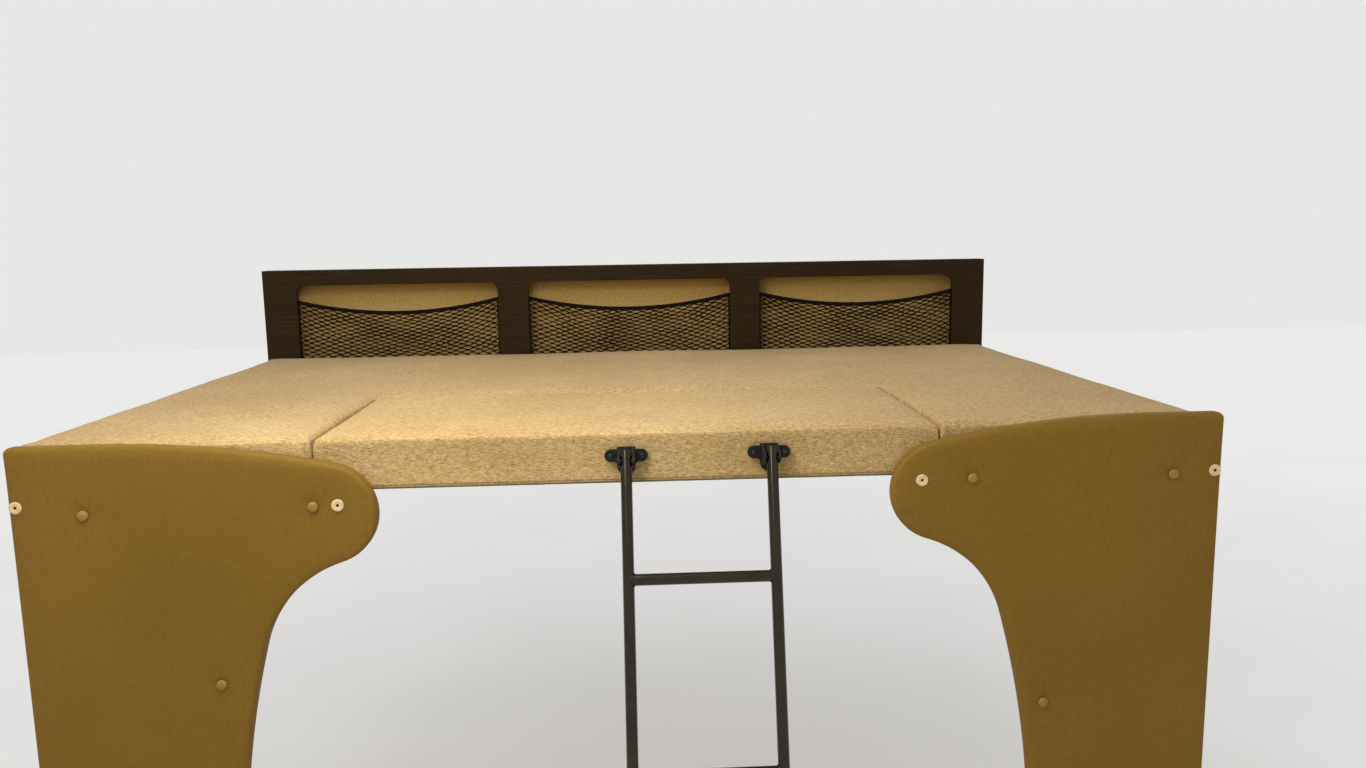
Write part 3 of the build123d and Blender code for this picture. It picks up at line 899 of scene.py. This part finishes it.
def wing_outline(top, inset, wall_share=1.0):
    """The right wing's outline in X and Z, with the same count of points at any inset."""
    rise, flat = top
    x_wall = HALF_WIDTH - inset * wall_share
    z = Z_TOP + rise - inset
    points = []

    def arc(cx, cz, radius, start, turn, count):
        for k in range(count):
            angle = radians(start + turn * k / count)
            points.append((cx + radius * cos(angle), cz + radius * sin(angle)))

    def line(start, end, count):
        (ax, az), (bx, bz) = start, end
        points.extend((ax + (bx - ax) * k / count, az + (bz - az) * k / count)
                      for k in range(count))

    # The small round at the wall, then the flat run.
    small = max(WALL_CORNER - inset, 0.0005)
    arc(x_wall - small, z - small, small, 0, 90, 5)
    x = HALF_WIDTH - flat
    line((x_wall - small, z), (x, z), 8)
    heading = 180.0
    steps = (
        (DIP_RADIUS - inset, DIP_TURN, 34),
        (NOSE_RADIUS - inset, NOSE_TURN, 40),
        (HOLLOW_RADIUS + inset, -HOLLOW_TURN, 24),
        (EDGE_RADIUS + inset, -EDGE_TURN, 34),
    )
    for radius, turn, count in steps:
        side = 90 if turn > 0 else -90
        cx = x + radius * cos(radians(heading + side))
        cz = z + radius * sin(radians(heading + side))
        arc(cx, cz, radius, heading - side, turn, count)
        heading += turn
        x = cx + radius * cos(radians(heading - side))
        z = cz + radius * sin(radians(heading - side))
    z_low = Z_FLOOR + inset
    line((x, z), (x, z_low), 18)
    line((x, z_low), (x_wall, z_low), 12)
    line((x_wall, z_low), (x_wall, Z_TOP + rise - max(WALL_CORNER, inset)), 50)
    return points


def sides_of(outline):
    return zip(outline, outline[1:] + outline[:1])


def distance_to(outline, x, z):
    """The shortest distance from a point to a closed outline."""
    best = 9.0
    for (ax, az), (bx, bz) in sides_of(outline):
        dx, dz = bx - ax, bz - az
        length = dx * dx + dz * dz
        share = ((x - ax) * dx + (z - az) * dz) / length if length > 1e-12 else 0.0
        share = max(0.0, min(1.0, share))
        best = min(best, hypot(x - ax - dx * share, z - az - dz * share))
    return best


def inside_outline(outline, x, z):
    odd = False
    for (ax, az), (bx, bz) in sides_of(outline):
        if (az > z) != (bz > z) and x < ax + (z - az) * (bx - ax) / (bz - az):
            odd = not odd
    return odd


EDGE_ROLL = 0.009
FACE_SWELL = 0.0012
WALL_SHARE = 0.4
WING_GRID = 0.020
RING_INSETS = (0.014, 0.020, 0.028)
BUTTON_PULL = 0.0030
BUTTON_REACH = 0.12
FOLD_DEPTH = 0.0005
WING_PRESSURE = 2.0
WING_CAP = 0.0016
# Rings of points round a button: radius and count.
BUTTON_RINGS = ((0.006, 8), (0.011, 14), (0.015, 16), (0.021, 18), (0.029, 18), (0.040, 20))


def triangles_in(points, count):
    """Points, and the triangles that fill the outline made by the first count of them."""
    edges = [(k, (k + 1) % count) for k in range(count)]
    filled = delaunay_2d_cdt(points, edges, [], 1, 1e-6)
    return filled[0], filled[2]


def wing_filling(outline, places):
    """Points and triangles that fill an outline, closer together round the buttons."""
    points = [Vector(p) for p in outline]
    count = len(points)
    for place in places:
        points.append(Vector(place))
        for radius, around in BUTTON_RINGS:
            for k in range(around):
                angle = 2 * pi * (k + 0.5 * (around % 4)) / around
                x, z = place[0] + radius * cos(angle), place[1] + radius * sin(angle)
                if inside_outline(outline, x, z) and distance_to(outline, x, z) > 0.006:
                    points.append(Vector((x, z)))
    xs, zs = zip(*[tuple(p) for p in points[:count]])
    row = 0
    z = min(zs) + WING_GRID
    while z < max(zs):
        x = min(xs) + WING_GRID * (1 if row % 2 else 0.5)
        while x < max(xs):
            clear = all(hypot(x - px, z - pz) > 0.050 for px, pz in places)
            if clear and inside_outline(outline, x, z) and distance_to(outline, x, z) > 0.011:
                points.append(Vector((x, z)))
            x += WING_GRID
        z += WING_GRID * 0.87
        row += 1
    return triangles_in(points, count)


def make_wing_pad(side, sign, top, buttons):
    """Foam under vinyl: rolled edges, a faint crown, and a dimple pulled in at each button."""
    y_back = Y_FRONT + WING_THICK
    y_core = y_back - CORE_THICK - FIT
    places = [(HALF_WIDTH - inset, Z_TOP - drop) for inset, drop in buttons]
    count = len(wing_outline(top, 0.0))
    # The recess for the core, then the rim, the side and the rolled edge, as (inset, y).
    profile = [(RIM, y_core), (RIM, y_back), (0.0005, y_back), (0.0, y_back - 0.0008),
               (0.0, Y_FRONT + EDGE_ROLL + 0.004)]
    rim_rings = len(profile)
    for degrees in range(0, 91, 18):
        angle = radians(degrees)
        profile.append((EDGE_ROLL * (1 - cos(angle)),
                        Y_FRONT + FACE_SWELL + EDGE_ROLL * (1 - sin(angle))))
    profile += [(inset, Y_FRONT + FACE_SWELL * exp(-(inset - EDGE_ROLL) / 0.012))
                for inset in RING_INSETS]
    loops, points, faces = [], [], []
    for number, (inset, y) in enumerate(profile):
        loops.append(len(points))
        ring = wing_outline(top, inset, 1.0 if number < rim_rings else WALL_SHARE)
        points.extend(Vector((px, y, pz)) for px, pz in ring)
    for first, second in zip(loops, loops[1:]):
        for k in range(count):
            m = (k + 1) % count
            faces.append((first + k, second + k, second + m, first + m))
    # The floor of the recess, then the face inside the last ring.
    recess = [Vector(p) for p in wing_outline(top, RIM)]
    faces.extend(tuple(triangle) for triangle in triangles_in(recess, count)[1])
    inner = wing_outline(top, RING_INSETS[-1], WALL_SHARE)
    flat_points, triangles = wing_filling(inner, places)
    points.extend(Vector((point.x, Y_FRONT, point.y)) for point in flat_points[count:])
    for triangle in triangles:
        faces.append(tuple(loops[-1] + number for number in reversed(triangle)))
    for point in points[loops[-3]:]:
        point.y += wing_relief(point.x, point.z, places, sign)
    if sign < 0:
        points = [Vector((-p.x, p.y, p.z)) for p in points]
        faces = [tuple(reversed(face)) for face in faces]
    pad = mesh_object("wing_pad_" + side, points, faces)

    def held(p):
        near_button = min(hypot(p.x - sign * x, p.z - z) for x, z in places) < 0.012
        return p.y > Y_FRONT + 0.006 or near_button

    inflate(pad, held, WING_PRESSURE, WING_CAP)
    subdivide(pad)
    dress(pad, "bunk", "wing_vinyl", "vinyl", "wing_cover_" + side)


def wing_relief(x, z, places, sign):
    """How far the vinyl's face is pulled back from its flat plane."""
    depth = 0.0004 + 0.0004 * noise.noise(Vector((x * 6, z * 6, 3.0 * sign)))
    for px, pz in places:
        away = hypot(x - px, z - pz)
        if away < BUTTON_REACH:
            angle = atan2(z - pz, x - px)
            pull = BUTTON_PULL * exp(-(away / 0.016) ** 1.3)
            folds = FOLD_DEPTH * exp(-(away / 0.030) ** 2) * (1 - exp(-(away / 0.012) ** 2))
            depth += pull + folds * sin(5 * angle + 9 * px)
    return max(depth, 0.0)


# Profiles of turned pieces, as (radius, height out of the face).
BUTTON = ((0.0, -0.0035), (0.0080, -0.0035), (0.0098, -0.0022), (0.0105, 0.0), (0.0103, 0.0018),
          (0.0094, 0.0034), (0.0076, 0.0047), (0.0050, 0.0056), (0.0024, 0.0060), (0.0, 0.0060))
SNAP = ((0.0, 0.0), (0.0112, 0.0), (0.0120, 0.0007), (0.0120, 0.0017), (0.0116, 0.0024),
        (0.0108, 0.0028), (0.0090, 0.0030), (0.0066, 0.0029), (0.0050, 0.0025), (0.0038, 0.0024),
        (0.0033, 0.0024), (0.0030, 0.0021), (0.0030, 0.0008), (0.0, 0.0008))
SOCKET = ((0.0, 0.0007), (0.0030, 0.0007), (0.0030, 0.0014), (0.0022, 0.0017), (0.0014, 0.0012),
          (0.0, 0.0010))


def make_wing_fittings(side, sign, snaps, buttons):
    def turned(profile, places, count):
        return [lathe(profile, (sign * (HALF_WIDTH - inset), Y_FRONT - FIT, Z_TOP - drop), count)
                for inset, drop in places]

    # The buttons take the lighter vinyl, whose extra lightness is painted highlight.
    piece = mesh_object("wing_buttons_covered_" + side, *join_meshes(turned(BUTTON, buttons, 28)))
    subdivide(piece)
    dress(piece, "bunk", "wing_vinyl", "button_vinyl_painted_highlight", "wing_buttons_" + side)
    add_piece("wing_snap_discs_" + side, turned(SNAP, snaps, 40),
              "bunk", "snap_cream", "cream", "wing_snaps_" + side)
    add_piece("wing_snap_sockets_" + side, turned(SOCKET, snaps, 20),
              "bunk", "black_plastic", "socket")


# The vinyl's turned-over edge: where it starts and ends, in from the outline, and its thickness.
WRAP_INSETS = (0.0012, 0.026)
WRAP_THICK = 0.00025
STAPLE_INSET = 0.017
STAPLE_SPACING = 0.045
STAPLE_LENGTH = 0.010
STAPLE_RADIUS = 0.0005


def make_wing_back(side, sign, top):
    """The vinyl's turned-over edge on the back of the core, and the staples that hold it."""
    y_back = Y_FRONT + WING_THICK
    y_wrap = y_back + WRAP_THICK
    outer, inner = [wing_outline(top, inset) for inset in WRAP_INSETS]
    rings = [[(sign * x, y, z) for x, z in ring]
             for ring, y in ((outer, y_back), (outer, y_wrap), (inner, y_wrap), (inner, y_back))]
    wrap = sweep([(0, 0, 0)] * len(rings), rings, closed=True)
    piece = mesh_object("wing_wrap_" + side, *wrap, smooth=False)
    dress(piece, "bunk", "wing_vinyl", "vinyl")
    staples = []
    middle = wing_outline(top, STAPLE_INSET)
    travelled = 0.0
    for (ax, az), (bx, bz) in zip(middle, middle[1:]):
        step = hypot(bx - ax, bz - az)
        travelled += step
        # None beside the wall, the floor or the deck.
        free = Z_FLOOR + 0.04 <= az <= -0.02 and ax <= HALF_WIDTH - 0.04
        if travelled < STAPLE_SPACING or not free:
            continue
        travelled = 0.0
        along = Vector(((bx - ax) / step * sign, 0, (bz - az) / step))
        start = Vector((sign * ax, y_wrap, az)) - along * (STAPLE_LENGTH / 2)
        end = start + along * STAPLE_LENGTH
        staples.append(stitch(start, end, (0, 1, 0), STAPLE_RADIUS))
    add_piece("wing_staples_" + side, staples, "bunk", "pin_steel", "zinc")


# Nets.

NET_ROWS = 24
NET_CELL = 0.038
NET_SAG = 0.040
STRAND_HALF, STRAND_KNOT = 0.0016, 0.0007
STRAND_HALF_THICK = 0.0007
BAND_WIDE = 0.013
BAND_HALF_THICK = 0.0025
BAND_STEPS, TAPE_STEPS = 96, 30


def oval(*corners):
    """A strap's section in halves of its width and thickness, from a quarter's corners."""
    half = [(1, 0), *corners, *[(-a, b) for a, b in reversed(corners) if a]]
    return half + [(-a, -b) for a, b in half]


STRAND_SECTION = oval((0.5, 0.9))
TAPE_SECTION = oval((0.7, 0.8))
BAND_SECTION = oval((0.88, 0.6), (0.6, 0.9), (0, 1))


def ribbon(path, section, half_wide, half_thick):
    """A strap along a path in X and Z. half_wide gives half its width at each point."""
    rings = []
    for k, point in enumerate(path):
        ahead = path[min(k + 1, len(path) - 1)] - path[max(k - 1, 0)]
        across = Vector((-ahead.z, 0, ahead.x)).normalized() * half_wide(k, point)
        rings.append([across * a + Vector((0, half_thick * b, 0)) for a, b in section])
    return sweep(path, rings)


def make_net(name, seed):
    low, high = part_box("net_" + name)
    width = high.x - low.x
    y_middle = (low.y + high.y) / 2
    periods = round(width / NET_CELL)
    samples = periods * 8

    def top(x, drop=0.0):
        share = 2 * (x - low.x) / width - 1
        return high.z - NET_SAG * (1 - share * share) - drop

    def slack(x, z):
        away = min(x - low.x, high.x - x) / width
        return 0.004 * noise.noise(Vector((x * 5, z * 9, seed))) * min(1.0, away * 8)

    def strand_half(k, point):
        half = STRAND_HALF + STRAND_KNOT * abs(cos(2 * pi * periods * k / samples))
        return half * (1 + 0.35 * noise.noise(Vector((point.x * 9, point.z * 26, seed + 9))))

    def band_half(k, point):
        return BAND_WIDE / 2 * (1 + 0.08 * noise.noise(Vector((point.x * 60, 0, seed))))

    strands = []
    for row in range(NET_ROWS + 1):
        way = 1 if row % 2 else -1
        share = row / NET_ROWS
        path = []
        for k in range(samples + 1):
            t = k / samples
            # Cells are narrower beside the two ends, where the net is gathered.
            x = low.x + width * (t - 0.010 * sin(2 * pi * t))
            drift = 0.35 * noise.noise(Vector((x * 7, row * 0.35, seed)))
            level = low.z + 0.001 + (top(x, BAND_WIDE * 0.7) - low.z - 0.001) * share
            pitch = (top(x, BAND_WIDE) - low.z) / NET_ROWS
            swing = 0.40 * pitch * way * cos(2 * pi * (periods * t + drift))
            level += swing + 0.0010 * noise.noise(Vector((x * 22, row * 1.7, seed + 5)))
            path.append(Vector((x, y_middle + slack(x, level) + 0.0003 * way, level)))
        strands.append(ribbon(path, STRAND_SECTION, strand_half, STRAND_HALF_THICK))
    net = add_piece("net_mesh_" + name, strands, "bunk", "net", "net", "net_" + name)
    # The elastic band along the top, and the folded tape down each end.
    path = []
    for k in range(BAND_STEPS + 1):
        x = low.x + width * k / BAND_STEPS
        path.append(Vector((x, y_middle, top(x, BAND_WIDE / 2))))
    parts = [ribbon(path, BAND_SECTION, band_half, BAND_HALF_THICK)]
    for x_end, inward in ((low.x, 1), (high.x, -1)):
        path = []
        for k in range(TAPE_STEPS + 1):
            z = low.z + (top(x_end, 0.004) - low.z) * k / TAPE_STEPS
            bend = 0.0008 * noise.noise(Vector((z * 40, x_end * 5, seed)))
            path.append(Vector((x_end + inward * (0.0025 + bend), y_middle, z)))
        rings = [[(0.0022 * a, 0.0020 * b, 0) for a, b in TAPE_SECTION]] * len(path)
        parts.append(sweep(path, rings))
    band = add_piece("net_band_" + name, parts, "bunk", "net", "band")


# Ladder and brackets.

WELD_RADIUS = 0.0015
WELD_STEPS = 48


def make_welds():
    """A rippled bead round each end of each rung."""
    beads = []
    lean = Matrix.Rotation(radians(-LADDER_LEAN), 4, "X")
    for drop in RUNG_DROPS:
        for sign in (-1, 1):
            x_rail = LADDER_X + sign * RAIL_SPACING / 2
            matrix = Matrix.Translation((x_rail, *RAIL_TOP)) @ lean
            side = Vector((-sign, 0, 0))
            path, rings = [], []
            for k in range(WELD_STEPS):
                angle = 2 * pi * k / WELD_STEPS
                outward = Vector((0, cos(angle), sin(angle)))
                y, z = TUBE_RADIUS * cos(angle), TUBE_RADIUS * sin(angle)
                x = -sign * (sqrt(max(TUBE_RADIUS ** 2 - y * y, 0.0)) + 0.0006)
                size = WELD_RADIUS * (1 + 0.22 * sin(angle * 16))
                path.append(matrix @ Vector((x, y * 1.03, z * 1.03 - drop)))
                rings.append([matrix.to_3x3() @ ((outward * c + side * s) * size)
                              for c, s in circle(8)])
            beads.append(sweep(path, rings, closed=True))
    add_piece("rung_welds", beads, "ladder", "ladder_metal", "ladder")


# A pan head's profile, as (share of its radius, height), and its recess.
SCREW_HEAD = ((1, 0.0), (1, 0.0006), (0.94, 0.0013), (0.80, 0.0018), (0.62, 0.0021),
              (0.48, 0.0022), (0.34, 0.0023), (0.20, 0.0023), (0.08, 0.0023), (0.0, 0.0023))
SCREW_RADIUS = 0.0045
RECESS_DEPTH = 0.0014


def screw_head(place, turn):
    """A pan head with a cross recess, facing the living area."""
    profile = [(SCREW_RADIUS * share, height) for share, height in SCREW_HEAD]
    points, faces = lathe(profile, (0, 0, 0), 40)
    for point in points:
        a = point.x * cos(turn) + point.z * sin(turn)
        b = -point.x * sin(turn) + point.z * cos(turn)
        in_cross = min(abs(a), abs(b)) < SCREW_RADIUS * 0.13 and point.y < -0.0015
        if in_cross and hypot(a, b) < SCREW_RADIUS * 0.66:
            point.y += RECESS_DEPTH
    return [p + Vector(place) for p in points], faces


def make_bracket_screws():
    heads = []
    for sign, turn in ((-1, 0.3), (1, 1.1)):
        x = LADDER_X + sign * RAIL_SPACING / 2
        y_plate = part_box("bracket_left" if sign < 0 else "bracket_right")[1].y - PLATE_THICK
        for ear in (-1, 1):
            heads.append(screw_head((x + ear * EAR_SPACING / 2, y_plate, EAR_HEIGHT), turn + ear))
    add_piece("bracket_screws", heads, "centre_panel", "pin_steel", "dark_steel")


bpy.context.scene.view_settings.view_transform = "Standard"
make_camera()
make_world()
make_floor()
add_light("SUN", "key", place=(-0.5, -0.7, 1.3), aim=(0, 0, 0), power=0.35, angle=radians(35))
add_light("AREA", "over", place=(-0.5, -1.3, 1.15), aim=(-0.4, -0.9, 0.1), power=15.5,
          shape="DISK", size=0.9)
add_light("AREA", "front", place=(-0.9, -3.1, 0.9), aim=(0.1, -1.0, -0.2), power=7,
          shape="DISK", size=0.5)

dress_nodes()
make_mattress()
make_hem(make_centre_cushion())
for wing, mirror, outline_top, wing_snaps, wing_buttons in WINGS:
    make_wing_pad(wing, mirror, outline_top, wing_buttons)
    make_wing_fittings(wing, mirror, wing_snaps, wing_buttons)
    make_wing_back(wing, mirror, outline_top)
for net_name, net_seed in (("left", 1.0), ("centre", 2.0), ("right", 3.0)):
    make_net(net_name, net_seed)
make_welds()
make_bracket_screws()
